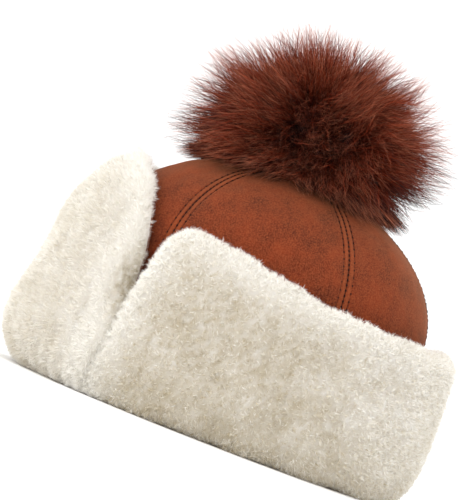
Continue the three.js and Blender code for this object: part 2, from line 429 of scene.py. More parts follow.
@dataclass(frozen=True)
class WaxedThread:
    """Waxed polyester thread, dark brown with a low shine, with painted shade in its holes."""

    name: str = "waxed_thread"
    # painted shade in the needle holes
    hole_shade: str = "#0a0302"
    colour: str = "#3c150b"
    ply_colour: str = "#5a2616"
    ply_size: float = 0.5 * MM
    roughness: float = 0.7
    specular: float = 0.15

    def material(self) -> bpy.types.Material:
        """Plied thread: fine bands of dark brown, and painted hole shade where the tone attribute
        is 0.

        Returns:
            The material.
        """
        material, tree = new_material(self.name)
        place = add_node(tree, "ShaderNodeTexCoord").outputs["Object"]
        inputs = {"Vector": place, "Scale": 1 / self.ply_size}
        ply = add_node(tree, "ShaderNodeTexNoise", inputs).outputs[0]
        inputs = {0: ply, 6: linear(self.colour), 7: linear(self.ply_colour)}
        thread = add_node(tree, "ShaderNodeMix", inputs, data_type="RGBA").outputs[2]
        tone = add_node(tree, "ShaderNodeAttribute", attribute_name="tone").outputs["Fac"]
        inputs = {0: tone, 6: linear(self.hole_shade), 7: thread}
        colour = add_node(tree, "ShaderNodeMix", inputs, data_type="RGBA").outputs[2]
        shader = add_node(
            tree,
            "ShaderNodeBsdfPrincipled",
            {
                "Base Color": colour,
                "Roughness": self.roughness,
                "Specular IOR Level": self.specular,
            },
        )
        add_node(tree, "ShaderNodeOutputMaterial", {"Surface": shader.outputs[0]})
        return material


@dataclass(frozen=True)
class MouldedNylon:
    """Moulded nylon, dark brown and satin, with faint flow marks."""

    name: str = "moulded_nylon"
    colour: str = "#3a241b"
    flow_size: float = 4 * MM
    smoothest: float = 0.4
    roughest: float = 0.55
    ior: float = 1.53

    def material(self) -> bpy.types.Material:
        """Even colour with a slightly uneven gloss.

        Returns:
            The material.
        """
        material, tree = new_material(self.name)
        place = add_node(tree, "ShaderNodeTexCoord").outputs["Object"]
        inputs = {"Vector": place, "Scale": 1 / self.flow_size}
        flow = add_node(tree, "ShaderNodeTexNoise", inputs).outputs[0]
        inputs = {0: flow, 1: 0.3, 2: 0.7, 3: self.smoothest, 4: self.roughest}
        gloss = add_node(tree, "ShaderNodeMapRange", inputs).outputs[0]
        inputs = {"Base Color": linear(self.colour), "Roughness": gloss, "IOR": self.ior}
        shader = add_node(tree, "ShaderNodeBsdfPrincipled", inputs)
        add_node(tree, "ShaderNodeOutputMaterial", {"Surface": shader.outputs[0]})
        return material


# Meshes


@dataclass
class MeshParts:
    """The makings of one mesh: points, faces of three or four corners, and attributes."""

    points: np.ndarray
    faces: list[np.ndarray]
    attributes: dict[str, np.ndarray] = field(default_factory=dict)
    slots: np.ndarray | None = None

    def make(
        self, name: str, materials: list[bpy.types.Material], smooth: bool
    ) -> bpy.types.Object:
        """Makes the object and puts it in the scene.

        Args:
            name: the piece's name.
            materials: one for each slot.
            smooth: whether its faces are shaded as one round surface.

        Returns:
            The new object, at the origin.
        """
        mesh = bpy.data.meshes.new(name)
        corners = np.concatenate([f.ravel() for f in self.faces]).astype(np.int32)
        sizes = np.concatenate([np.full(len(f), f.shape[1]) for f in self.faces])
        starts = np.concatenate([[0], np.cumsum(sizes)[:-1]]).astype(np.int32)
        mesh.vertices.add(len(self.points))
        mesh.vertices.foreach_set("co", self.points.astype(np.float32).ravel())
        mesh.loops.add(len(corners))
        mesh.loops.foreach_set("vertex_index", corners)
        mesh.polygons.add(len(sizes))
        mesh.polygons.foreach_set("loop_start", starts)
        mesh.polygons.foreach_set("use_smooth", np.full(len(sizes), smooth))
        if self.slots is not None:
            mesh.polygons.foreach_set("material_index", self.slots.astype(np.int32))
        for key, values in self.attributes.items():
            layer = mesh.attributes.new(key, "FLOAT", "POINT")
            layer.data.foreach_set("value", values.astype(np.float32).ravel())
        for material in materials:
            mesh.materials.append(material)
        mesh.update(calc_edges=True)
        piece = bpy.data.objects.new(name, mesh)
        bpy.context.scene.collection.objects.link(piece)
        return piece


def grid_cells(index: np.ndarray) -> np.ndarray:
    """The four-cornered faces of a grid, in the order that faces du x dv.

    Args:
        index: the grid's point numbers, in columns and rows.

    Returns:
        Four point numbers for each face.
    """
    return np.stack(
        [index[:-1, :-1], index[1:, :-1], index[1:, 1:], index[:-1, 1:]], axis=-1
    ).reshape(-1, 4)


def ring_caps(ring: np.ndarray, first: int, last: int) -> np.ndarray:
    """Fans of triangles that close the two ends of a row of rings.

    Args:
        ring: the rings' point numbers, with the first column again at the end.
        first: the end point before the first ring.
        last: the end point after the last ring.

    Returns:
        Three point numbers for each triangle.
    """
    ends = np.full((2, ring.shape[1] - 1), [[first], [last]])
    near = np.stack([ends[0], ring[0, :-1], ring[0, 1:]], axis=1)
    far = np.stack([ends[1], ring[-1, 1:], ring[-1, :-1]], axis=1)
    return np.concatenate([near, far])


def closed_shell(outer: np.ndarray, inner: np.ndarray) -> tuple[MeshParts, int]:
    """A closed solid between two grids of the same size, walled along their four edges.

    Args:
        outer: the outer face's points, in rows and columns, facing du x dv.
        inner: the inner face's, the same way round.

    Returns:
        The mesh parts, and how many faces at the start belong to the outer face.
    """
    columns, rows = outer.shape[:2]
    index = np.arange(columns * rows).reshape(columns, rows)
    cells = grid_cells(index)
    rim = np.concatenate([index[:-1, 0], index[-1, :-1], index[:0:-1, -1], index[0, :0:-1]])
    after = np.roll(rim, -1)
    shift = columns * rows
    wall = np.stack([after, rim, rim + shift, after + shift], axis=1)
    points = np.concatenate([outer.reshape(-1, 3), inner.reshape(-1, 3)])
    return MeshParts(points, [cells, wall, cells[:, ::-1] + shift]), len(cells)


@dataclass
class Scatter:
    """Places picked at random over a grid surface, evenly by area."""

    points: np.ndarray
    normals: np.ndarray
    column: np.ndarray
    row: np.ndarray

    @classmethod
    def over(
        cls, grid: np.ndarray, count: int, draw: np.random.Generator, weight: np.ndarray
    ) -> Scatter:
        """Picks cells by area times weight, and a bilinear place inside each.

        Args:
            grid: the surface's points, in columns and rows, facing du x dv.
            count: how many places.
            draw: the source of chance.
            weight: how thickly each cell is covered.

        Returns:
            The places, their outward normals and where they are in the grid.
        """
        a, b = grid[:-1, :-1], grid[1:, :-1]
        c, d = grid[1:, 1:], grid[:-1, 1:]
        across = np.cross(c - a, d - b)
        share = (np.linalg.norm(across, axis=-1) * weight).ravel()
        chosen = draw.choice(share.size, count, p=share / share.sum())
        i, j = np.unravel_index(chosen, weight.shape)
        s, t = draw.random(count), draw.random(count)
        points = (
            a[i, j] * ((1 - s) * (1 - t))[:, None]
            + b[i, j] * (s * (1 - t))[:, None]
            + c[i, j] * (s * t)[:, None]
            + d[i, j] * ((1 - s) * t)[:, None]
        )
        return cls(points, unit(across[i, j]), i + s, j + t)


def blades(
    paths: np.ndarray,
    half_widths: np.ndarray,
    facing: np.ndarray,
    attributes: dict[str, np.ndarray],
) -> MeshParts:
    """Flat pointed blades along paths: two points at each step and one at the tip.

    Args:
        paths: each blade's steps from root to tip.
        half_widths: half the width at each step but the last.
        facing: for each blade, a direction that its flat side is square to its path in.
        attributes: one number for each blade under each name.

    Returns:
        The mesh parts, with the share of the way along as the attribute along.
    """
    count, steps = paths.shape[:2]
    sides = unit(np.cross(np.gradient(paths, axis=1), facing[:, None, :]))
    offset = sides[:, :-1] * half_widths[..., None]
    points = np.empty((count, 2 * steps - 1, 3))
    points[:, 0:-1:2] = paths[:, :-1] - offset
    points[:, 1:-1:2] = paths[:, :-1] + offset
    points[:, -1] = paths[:, -1]
    base = np.arange(count)[:, None, None] * (2 * steps - 1)
    strip = np.arange(steps - 2)[:, None] * 2 + np.array([0, 1, 3, 2])
    faces = [(base[:, 0] + (2 * steps - 4 + np.arange(3))).reshape(-1, 3)]
    if steps > 2:
        faces.insert(0, (base + strip).reshape(-1, 4))
    along = np.repeat(np.linspace(0, 1, steps), 2)[:-1]
    kept = {k: np.repeat(v, 2 * steps - 1) for k, v in attributes.items()}
    kept["along"] = np.tile(along, count)
    return MeshParts(points.reshape(-1, 3), faces, kept)


# The head's form, and the pieces on it


@dataclass(frozen=True)
class HeadForm:
    """The crown's oval form: an upright wall, and an elliptical dome on it."""

    half_length: float = 103.5 * MM
    half_width: float = 96.5 * MM
    bottom_z: float = 17 * MM
    spring_z: float = 91 * MM
    dome_rise: float = 70.5 * MM

    @property
    def mean_radius(self) -> float:
        """The radius of the round that is nearest to the oval."""
        return (self.half_length + self.half_width) / 2

    def rise_at(self, z: np.ndarray) -> np.ndarray:
        """The angle up the dome of a point at height z. It is 0 on the upright wall."""
        return np.arcsin(np.clip((z - self.spring_z) / self.dome_rise, 0, 1))

    def place(
        self, angle: np.ndarray, z: np.ndarray, out: np.ndarray, rise: np.ndarray | None = None
    ) -> np.ndarray:
        """Points square outside the suede.

        On the wall the foot point is (a sin, -b cos, z). On the dome it shrinks with the
        cosine of the rise and climbs with its sine. The way out is the section's normal.

        Args:
            angle: round the head from the front, in radians.
            z: the foot point's height, used where rise is 0.
            out: distance outside the suede.
            rise: angle up the dome, worked out from z if it is left out.

        Returns:
            The points, with their coordinates last.
        """
        rise = self.rise_at(z) if rise is None else rise
        level = np.cos(rise) / self.mean_radius
        steep = np.sin(rise) / self.dome_rise
        size = np.hypot(level, steep)
        foot_z = np.where(rise > 0, self.spring_z + self.dome_rise * np.sin(rise), z)
        aside = out * level / size
        x = (self.half_width * np.cos(rise) + aside) * np.sin(angle)
        y = -(self.half_length * np.cos(rise) + aside) * np.cos(angle)
        return np.stack(np.broadcast_arrays(x, y, foot_z + out * steep / size), axis=-1)

    def push_outside(self, points: np.ndarray, clear: float) -> np.ndarray:
        """Moves points that are inside the dome straight out of it, to lie on it.

        Args:
            points: places near the dome.
            clear: how far off the suede they have to stay.

        Returns:
            The points, moved where needed.
        """
        centre = np.array([0, 0, self.spring_z])
        size = np.array([self.half_width, self.half_length, self.dome_rise]) + clear
        inside = np.linalg.norm((points - centre) / size, axis=-1, keepdims=True)
        return np.where(inside < 1, centre + (points - centre) / np.maximum(inside, 1e-6), points)


class StitchRow(NamedTuple):
    """A row of equal stitches, or of needle holes drawn as spindles of painted shade, along every
    seam.
    """

    offset: float  # from the join
    pitch: float
    shift: float  # how much later it starts, as a share of the pitch
    length: float
    width: float
    level: float  # over the stitched groove
    sag: float  # how much lower both ends are
    # tone 0 paints the shade of a needle hole; 1 is the thread's own colour
    tone: float  # 0 in a hole, 1 for thread in the light


@dataclass
class Crown:
    """Six panels of double-face hide, joined by topstitched seams."""

    head: HeadForm
    panels: int = 6
    wall: float = 9 * MM
    gap: float = 0.1 * MM
    fullness: float = 1.5 * MM
    top_hole: float = 5 * MM
    join_depth: float = 0.45 * MM
    join_reach: float = 0.35 * MM
    stitch_line: float = 3.5 * MM  # from the seam to each row of topstitches
    stitch_pitch: float = 4.8 * MM
    stitch_dip: float = 0.3 * MM
    dip_reach: float = 0.55 * MM
    ripple_height: float = 0.07 * MM
    ripple_reach: float = 1.2 * MM
    stitch_rings: int = 3
    stitch_sides: int = 4
    rub: float = 0.4  # how worn the welt is between the seam and the stitches
    # painted shade in the groove of the join
    seam_shade: float = 0.55
    # painted shade in the dips under the topstitches
    stitch_shade: float = 0.25
    near_columns: int = 16
    near_reach: float = 5 * MM
    far_columns: int = 10
    wall_rows: int = 30
    dome_rows: int = 52
    lining_fibres: int = 16000

    def relief(self, from_seam: np.ndarray, climb: np.ndarray) -> np.ndarray:
        """How far the suede stands out beside a seam.

        A narrow bell at the join, a shallow bell under the topstitches, a small pucker at
        each stitch, and faint cross ripples between the rows.

        Args:
            from_seam: distance from the join.
            climb: distance up the seam.

        Returns:
            Distance out, in metres.
        """
        join = -self.join_depth * bell(from_seam, 0, self.join_reach)
        pulled = bell(from_seam, self.stitch_line, self.dip_reach)
        beat = np.cos(2 * np.pi * climb / self.stitch_pitch)
        between = bell(from_seam, 0.5 * self.stitch_line, self.ripple_reach)
        ripple = self.ripple_height * beat * between
        return join - self.stitch_dip * pulled * (1 - 0.4 * beat) + ripple

    def rows(self) -> tuple[np.ndarray, np.ndarray, np.ndarray]:
        """The rows up a panel, from its rim to its top.

        Returns:
            Each row's height, its angle up the dome, and the distance climbed to it.
        """
        head = self.head
        top = math.acos(self.top_hole / head.mean_radius)
        low = np.linspace(head.bottom_z, head.spring_z, self.wall_rows, endpoint=False)
        rises = np.concatenate([np.zeros(self.wall_rows), np.linspace(0, top, self.dome_rows)])
        z = np.concatenate([low, np.full(self.dome_rows, head.spring_z)])
        section = head.place(np.zeros(len(z)), z, np.zeros(len(z)), rises)
        steps = np.linalg.norm(np.diff(section, axis=0), axis=1)
        return z, rises, np.concatenate([[0], np.cumsum(steps)])

    def panel_grid(self, number: int, out: float | None) -> tuple[np.ndarray, np.ndarray]:
        """A panel's face as a grid: columns from seam to seam, rows from rim to top.

        Args:
            number: the panel's place, from the front.
            out: a fixed distance outside the suede, or None for the suede itself.

        Returns:
            The points, and each one's distance from its nearer seam.
        """
        z, rises, climb = self.rows()
        radius = self.head.mean_radius * np.cos(rises)
        half = radius * math.pi / self.panels - self.gap / 2
        near = np.linspace(0, 1, self.near_columns) ** 1.2 * self.near_reach
        near = near[:, None] * np.minimum(1, 0.6 * half / self.near_reach)
        share = np.linspace(0, 1, self.far_columns + 1)[1:, None]
        from_seam = np.concatenate([near, blend(near[-1:], half[None], share)])
        left = from_seam[:-1] + self.gap / 2
        right = (2 * radius * math.pi / self.panels)[None] - (from_seam + self.gap / 2)[::-1]
        across = np.concatenate([left, right])
        from_seam = np.concatenate([from_seam[:-1], from_seam[::-1]])
        angle = number * 2 * math.pi / self.panels + across / radius
        if out is None:
            swell = self.fullness * np.sin(math.pi * across / (2 * half + self.gap))
            level = self.head.place(angle, z, np.zeros_like(angle), rises)
            uneven = 0.5 * MM * waves(level, 45 * MM, 11) + 0.16 * MM * waves(level, 9 * MM, 12)
            calm = 1 - bell(from_seam, 0, self.near_reach)
            out_at = swell * np.cos(rises) + self.relief(from_seam, climb) + uneven * calm
            out_at -= self.pucker(level)
        else:
            out_at = np.full_like(angle, out)
        return self.head.place(angle, z, out_at, rises), from_seam

    def pucker(self, places: np.ndarray) -> np.ndarray:
        """A small pinched crease in the side panel, just over the ear flap's edge.

        Args:
            places: points on the suede.

        Returns:
            How far in each one is drawn, in metres.
        """
        middle = np.array([98, 19, 108]) * MM
        size = np.array([60, 3.2, 6.5]) * MM
        return 1.6 * MM * np.exp(-(((places - middle) / size) ** 2).sum(axis=-1))

    def make_panel(
        self, number: int, suede: bpy.types.Material, wool: bpy.types.Material
    ) -> bpy.types.Object:
        """One panel: suede outside, wool inside, closed along its edges.

        Args:
            number: the panel's place, from the front.
            suede: the outer finish.
            wool: the inner finish.

        Returns:
            The panel, which replaces its CAD node.
        """
        outer, from_seam = self.panel_grid(number, None)
        inner, _ = self.panel_grid(number, -self.wall)
        parts, outside = closed_shell(outer, inner)
        count = from_seam.size
        walls = len(parts.faces[1])
        parts.slots = np.concatenate([np.zeros(outside + walls), np.ones(outside)])
        line = self.stitch_line
        rub = self.rub * bell(from_seam, 0.52 * line, 0.9 * MM)
        # painted shade in the join's groove and in the dips under the topstitches
        soil_and_shade = self.seam_shade * bell(from_seam, 0, 0.34 * MM)
        soil_and_shade += self.stitch_shade * bell(from_seam, line, 0.35 * MM)
        zero = np.zeros(count)
        tone = 0.6 + 0.2 * waves(parts.points[count:], 15 * MM, 13)
        parts.attributes = {
            "rub": np.concatenate([rub.ravel(), zero]),
            # inner points at 1 paint the walls in the gaps between panels dark, as shade
            "soil_and_shade": np.concatenate([np.clip(soil_and_shade, 0, 1).ravel(), zero + 1]),
            "tone": np.concatenate([zero + 0.6, tone]),
            # the lining's ground takes a little of the wool's painted root shade
            "along": np.concatenate([zero, zero + 0.4]),
        }
        piece = parts.make(f"suede_panel_{number + 1}", [suede, wool], smooth=True)
        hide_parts(f"crown_panel_{number + 1}")
        return piece

    def stitch_rows(self) -> list[StitchRow]:
        """The rows in and beside each seam: needle holes, the threads between, the join; holes in
        painted shade.

        Returns:
            One row in the seam, and two on each side of it.
        """
        # the join's dots: short wide spindles of painted shade in its needle holes
        rows = [StitchRow(0.0, 3.2 * MM, 0, 1.8 * MM, 1.35 * MM, 0.2 * MM, 0.2 * MM, 0)]
        pitch = self.stitch_pitch
        for line in (-self.stitch_line, self.stitch_line):
            rows.append(StitchRow(line, pitch, 0, 4.4 * MM, 0.5 * MM, 0.15 * MM, 0.3 * MM, 1.0))
            # needle holes: short wide spindles of painted shade
            rows.append(StitchRow(line, pitch, 0.5, 1.6 * MM, 1.15 * MM, 0.2 * MM, 0.2 * MM, 0))
        return rows

    def make_stitches(self, thread: bpy.types.Material) -> bpy.types.Object:
        """All the stitches on all the seams, as one piece.

        Args:
            thread: the finish.

        Returns:
            The stitches.
        """
        rows = [self.make_row(row) for row in self.stitch_rows()]
        starts = np.cumsum([0] + [len(r.points) for r in rows])
        parts = MeshParts(
            np.concatenate([r.points for r in rows]),
            [f + start for r, start in zip(rows, starts) for f in r.faces],
            {"tone": np.concatenate([r.attributes["tone"] for r in rows])},
        )
        piece = parts.make("seam_stitches", [thread], smooth=True)
        return piece

    def make_row(self, row: StitchRow) -> MeshParts:
        """One row of stitches on each seam: small spindles bent over the suede.

        A spindle is rings of half-width w sin(pi t) along t from 0 to 1, and its line
        sinks at both ends as the square of the distance from its middle.

        Args:
            row: the kind of stitch and where the row is.

        Returns:
            The mesh parts.
        """
        z, rises, climb = self.rows()
        spots = np.arange((1 + row.shift) * row.pitch, climb[-1] - 8 * MM, row.pitch)
        rings, sides = self.stitch_rings, self.stitch_sides
        t = np.linspace(0, 1, rings + 2)
        at = spots[:, None] + (t - 0.5) * row.length
        turned = np.arange(self.panels) * 2 * math.pi / self.panels
        rise_at, z_at = np.interp(at, climb, rises), np.interp(at, climb, z)
        radius = self.head.mean_radius * np.cos(rise_at)
        angle = turned[:, None, None] + row.offset / radius
        swell = self.fullness * np.sin(abs(row.offset) * self.panels / (2 * radius))
        out = swell * np.cos(rise_at) + row.level - self.stitch_dip - row.sag * (2 * t - 1) ** 2
        out = out + np.zeros_like(angle)
        line = self.head.place(angle, z_at, out, rise_at).reshape(-1, rings + 2, 3)
        ahead = unit(np.gradient(line, axis=1))
        beside = unit(np.cross(ahead, self.head_normal(line)))
        above = np.cross(beside, ahead)
        turn = np.arange(sides) * 2 * math.pi / sides
        width = 0.5 * row.width * np.sin(math.pi * np.clip(t, 0.12, 0.88)) ** 0.7
        body = slice(1, rings + 1)
        around = (
            np.cos(turn)[:, None] * beside[:, body, None, :]
            + 0.7 * np.sin(turn)[:, None] * above[:, body, None, :]
        )
        ring_points = line[:, body, None, :] + around * width[body][:, None, None]
        count = len(line)
        points = np.concatenate(
            [ring_points.reshape(count, -1, 3), line[:, :1], line[:, -1:]], axis=1
        )
        index = np.arange(rings * sides).reshape(rings, sides)
        ring = np.concatenate([index, index[:, :1]], axis=1)
        caps = ring_caps(ring, rings * sides, rings * sides + 1)
        base = np.arange(count)[:, None, None] * points.shape[1]
        faces = [
            (base + grid_cells(ring)[:, ::-1]).reshape(-1, 4),
            (base + caps).reshape(-1, 3),
        ]
        tone = np.full(count * points.shape[1], row.tone)
        return MeshParts(points.reshape(-1, 3), faces, {"tone": tone})

    def head_normal(self, points: np.ndarray) -> np.ndarray:
        """The way out of the crown at places near it.

        Args:
            points: the places.

        Returns:
            A vector of length one at each.
        """
        high = np.maximum(points[..., 2] - self.head.spring_z, 0)
        size = np.array([self.head.half_width, self.head.half_length, self.head.dome_rise])
        return unit(np.stack([points[..., 0], points[..., 1], high], axis=-1) / size**2)

    def make_lining(self, wool: bpy.types.Material) -> bpy.types.Object:
        """The short wool inside the crown, as one piece of blades on all six panels.

        Args:
            wool: the finish.

        Returns:
            The wool.
        """
        draw = np.random.default_rng(31)
        fields = []
        for number in range(self.panels):
            grid, _ = self.panel_grid(number, -self.wall)
            inward = grid[::-1]
            weight = np.ones((grid.shape[0] - 1, grid.shape[1] - 1))
            fields.append(Scatter.over(inward, self.lining_fibres // self.panels, draw, weight))
        points = np.concatenate([f.points for f in fields])
        normals = np.concatenate([f.normals for f in fields])
        pile = Pile(Lie.CURLY, steps=3, length=4.5 * MM, width=0.7 * MM)
        parts = pile.grow(points, normals, 0.62 + 0.2 * waves(points, 12 * MM, 14), draw)
        piece = parts.make("crown_wool", [wool], smooth=False)
        return piece

    def build(
        self, suede: bpy.types.Material, wool: bpy.types.Material, thread: bpy.types.Material
    ) -> list[bpy.types.Object]:
        """Builds the panels, the stitches and the wool inside.

        Args:
            suede: the panels' outer finish.
            wool: the inner finish.
            thread: the stitches' finish.

        Returns:
            The pieces.
        """
        pieces = [self.make_panel(n, suede, wool) for n in range(self.panels)]
        return pieces + [self.make_stitches(thread), self.make_lining(wool)]


@dataclass
class Pile:
    """A wool pile of short blades, which are bent where they have three steps."""

    lie: Lie
    steps: int
    length: float = 3.9 * MM
    width: float = 0.42 * MM
    root_depth: float = 1.0 * MM

    def grow(
        self,
        points: np.ndarray,
        normals: np.ndarray,
        tone: np.ndarray,
        draw: np.random.Generator,
        length: np.ndarray | float = 1.0,
    ) -> MeshParts:
        """Grows one fibre at each place.

        A fibre leaves along the normal plus a lean, which is the same for near neighbours
        (waves a few mm long) plus chance, and bends on the way. Curly wool leans more.

        Args:
            points: where the fibres stand.
            normals: the way out there.
            tone: how pale each one is.
            draw: the source of chance.
            length: each fibre's share of the usual length.

        Returns:
            The mesh parts.
        """
        habit = HABITS[self.lie]
        swirl = np.stack([waves(points, habit.swirl_size, 40 + k) for k in range(3)], axis=-1)
        stray = draw.normal(size=points.shape)
        lean = swirl * habit.swirl + stray * habit.stray
        lean -= normals * (lean * normals).sum(axis=-1, keepdims=True)
        size = (self.length * length * draw.uniform(0.7, 1.15, len(points)))[:, None]
        root = points - normals * self.root_depth
        if self.steps == 3:
            middle = root + unit(normals + 0.5 * lean) * size * 0.55
            tip = middle + unit(normals * habit.upright + habit.bend * lean) * size * 0.5
            paths = np.stack([root, middle, tip], axis=1)
        else:
            paths = np.stack([root, root + unit(normals + 0.8 * lean) * size], axis=1)
        paths[..., 2] = np.maximum(paths[..., 2], FLOOR_GAP)
        taper = np.array([0.9, 1.0])[3 - self.steps :]
        half = 0.5 * self.width * draw.uniform(0.7, 1.2, (len(points), 1)) * taper
        facing = unit(normals + 0.8 * draw.normal(size=points.shape))
        return blades(paths, half, facing, {"tone": np.clip(tone, 0, 1)})


@dataclass
class TurnedFlap:
    """A flap turned up round the crown, wool side out, with the fold that it turns on."""

    head: HeadForm
    node: str
    middle: float  # degrees round from the front
    slit_side: str  # the slit table's column that its ends follow
    top_line: tuple[TopRow, ...]
    thickness: tuple[ThickRow, ...]
    corner_reach: float
    corner_drop: float
    columns: int
    bent_fibres: int
    straight_fibres: int
    lie: Lie
    middle_tone: float
    fold_depth: float
    seed: int
    hide_out: float = 2.5
    hide_from_z: float = 18
    foot_inner: float = -8.5
    foot_flat_from: float = -5
    foot_flat_to: float = 6
    roll_height: float = 28
    bulge: float = 0  # how much thicker the fold is in the flap's middle
    bulge_z: float = 24
    bulge_height: float = 26
    lip_middle: float = 0.42
    lip_forward: float = 0  # how much further out the crest is in the flap's middle
    lip_height: float = 0.55
    end_press: float = 0.4
    end_shade: float = 0  # how much darker the wool is deep in the slit
    end_shade_z: float = 66
    crowding: float = 0.85
    crowd_reach: float = 0.06
    pile_depth: float = 2.0  # from the wool's outer form down to the shell that it grows on
    foot_inset: float = 0.4  # the share of that depth by which the shell's foot is raised
    end_inset: float = 0.4  # and by which its ends are drawn in
    roll_rows: int = 8
    body_rows: int = 18
    lip_rows: int = 11
    fold_pitch: float = 9  # from one pressed fold beside the slit to the next
    folds_at: float = 22  # how far from the flap's end they are deepest
    rim_reach: float = 14  # how far in from the edges the wool is whitest
    rim_tone: float = 0.97
    rim_share: float = 0.95
    rear_pale: float = 0.28  # how much paler the wool is behind
    fold_shade: float = 0.07  # how much darker it is low on the fold
    fold_weight: float = 0.35  # how thickly fibres stand under the fold
    edge_weight: float = 0.7  # how much more thickly along the edges
    edge_length: float = 0.16  # and how much longer

    def ends_at(self, z: np.ndarray) -> np.ndarray:
        """Degrees from the flap's middle to its end at a height in mm."""
        return np.abs(self.middle - read_table(SLIT, "z", self.slit_side, z))

    def columns_from_end(self) -> tuple[np.ndarray, np.ndarray]:
        """Where the columns stand: their side, and their share of the way from the end.

        They crowd towards both ends: with v from 0 at the end to 1 at the middle and reach
        r, the share is v - c r (1 - exp(-v / r)), scaled to end at 1.

        Returns:
            Minus one or one for each column's side, and the share from 0 to 1.
        """
        even = np.linspace(-1, 1, self.columns + 1)
        from_end = 1 - np.abs(even)
        held = self.crowding * self.crowd_reach
        share = from_end - held * (1 - np.exp(-from_end / self.crowd_reach))
        return np.sign(even), share / (1 - held)

    def section(
        self, top: np.ndarray, mid: np.ndarray, inset: float
    ) -> tuple[np.ndarray, ...]:
        """The flap's section for each column, as distance outside the suede and height.

        The wool side runs out along the floor, up a quarter ellipse, straight up, and over
        a quarter ellipse to the crest. The hide side runs beside it, row for row.

        Args:
            top: the top edge's height at each column, in mm.
            mid: 1 in the flap's middle, falling to 0 at its ends.
            inset: how far inside the wool's outer form the wool side is, in mm.

        Returns:
            The wool side's out and z and the hide side's out and z, in mm, a row for each
            column.
        """

        def thick(z: np.ndarray) -> np.ndarray:
            """The wool side's distance outside the suede at a height, with the bulge's bell."""
            more = bulge * bell(z, self.bulge_z, self.bulge_height)
            return read_table(self.thickness, "z", "out", z) + more - inset

        bulge = self.bulge * mid[:, None]
        lift = inset * self.foot_inset
        top = top[:, None] - inset
        lip = self.lip_height * thick(top)
        body_top = top - lip
        ones = np.ones_like(top)
        foot_out = np.array([self.foot_inner, self.foot_inner + 1, self.foot_flat_from, 0.0])
        foot_out = ones * np.append(foot_out, self.foot_flat_to)
        foot_z = np.array([5.0, 2.0, 0.0, 0.0, 0.0]) + lift
        hide_foot_z = np.array([10.0, 12.5, 15.0, 15.0, 15.0])
        turn = np.linspace(0, math.pi / 2, self.roll_rows + 1)[1:]
        roll_z = ones * (self.roll_height * (1 - np.cos(turn)) + lift * (1 - np.sin(turn)))
        roll_out = blend(self.foot_flat_to, thick(roll_z), np.sin(turn))
        climb = np.linspace(0, 1, self.body_rows + 1)[1:]
        body_z = blend(self.roll_height, body_top, climb)
        over = np.linspace(0, math.pi / 2, self.lip_rows + 1)[1:]
        crest_share = self.lip_middle + self.lip_forward * mid[:, None]
        crest = blend(self.hide_out, thick(top), crest_share)
        lip_z = body_top + lip * np.sin(over)
        over_wool = blend(crest, thick(body_top), np.cos(over))
        over_hide = blend(crest, self.hide_out, np.cos(over)) - 0.8 * np.sin(over) ** 6
        wool_out = [foot_out, roll_out, thick(body_z), over_wool]
        wool_z = [ones * foot_z, roll_z, body_z, lip_z]
        roll_up = ones * np.linspace(self.hide_from_z, self.roll_height, self.roll_rows)
        flat = [np.full_like(rows, self.hide_out) for rows in (roll_up, body_z)]
        hide_out = [np.minimum(foot_out, self.hide_out), *flat, over_hide]
        hide_z = [ones * hide_foot_z, roll_up, body_z, lip_z - 0.6 * np.sin(over) ** 6]
        return tuple(np.concatenate(rows, axis=1) for rows in (wool_out, wool_z, hide_out, hide_z))

    def grids(self, inset: float) -> tuple[np.ndarray, np.ndarray, np.ndarray, np.ndarray]:
        """The wool side and the hide side as grids, columns from end to end.

        Near its ends the flap closes to a rounded edge: its thickness shrinks as the height
        of a quarter circle does. Low down, where the slit is shut, the round is tight.

        Args:
            inset: how far inside the wool's outer form the wool side is, in mm.

        Returns:
            The wool grid and the hide grid in metres, and for each point the distance from
            the flap's end and from its top edge in mm.
        """
        side, share = self.columns_from_end()
        share = 1 - share
        base_end = self.ends_at(np.zeros(1))[0]
        radius = self.head.mean_radius / MM + self.thickness[0].out / 2
        from_end = math.radians(base_end) * (1 - share) * radius
        corner = np.clip(1 - from_end / self.corner_reach, 0, 1)
        top = read_table(self.top_line, "turn", "z", base_end * share)
        top = top - self.corner_drop * (1 - np.sqrt(1 - corner**2))
        mid = np.cos(share * math.pi / 2) ** 2
        wool_out, wool_z, hide_out, hide_z = self.section(top, mid, inset)
        round_at = read_table(SLIT, "z", self.slit_side + "_round", wool_z)
        close = np.clip(1 - from_end[:, None] / round_at, 0, 1)
        fill = blend(read_table(SLIT, "z", "share", wool_z), 1.0, np.sqrt(1 - close**2))
        press = blend(hide_out, wool_out, self.end_press)
        middle = math.radians(self.middle)
        trim = self.end_inset * inset / radius * close

        def place(out: np.ndarray, z: np.ndarray) -> np.ndarray:
            """Points at distances outside the suede and heights, both in mm."""
            turn = side[:, None] * (np.radians(share[:, None] * self.ends_at(z)) - trim)
            return self.head.place(middle + turn, z * MM, blend(press, out, fill) * MM)

        down = top[:, None] - wool_z
        from_end = np.broadcast_to(from_end[:, None], down.shape)
        return place(wool_out, wool_z), place(hide_out, hide_z), from_end, down

    def ground(self) -> tuple[np.ndarray, np.ndarray, np.ndarray, np.ndarray]:
        """The shell that the wool grows on, with the pile's soft unevenness.

        Returns:
            What grids returns, with the wool side moved out by its lumps.
        """
        outer, inner, from_end, down = self.grids(self.pile_depth)
        outer = outer + grid_normals(outer) * self.lumps(outer, from_end)[..., None]
        return outer, inner, from_end, down

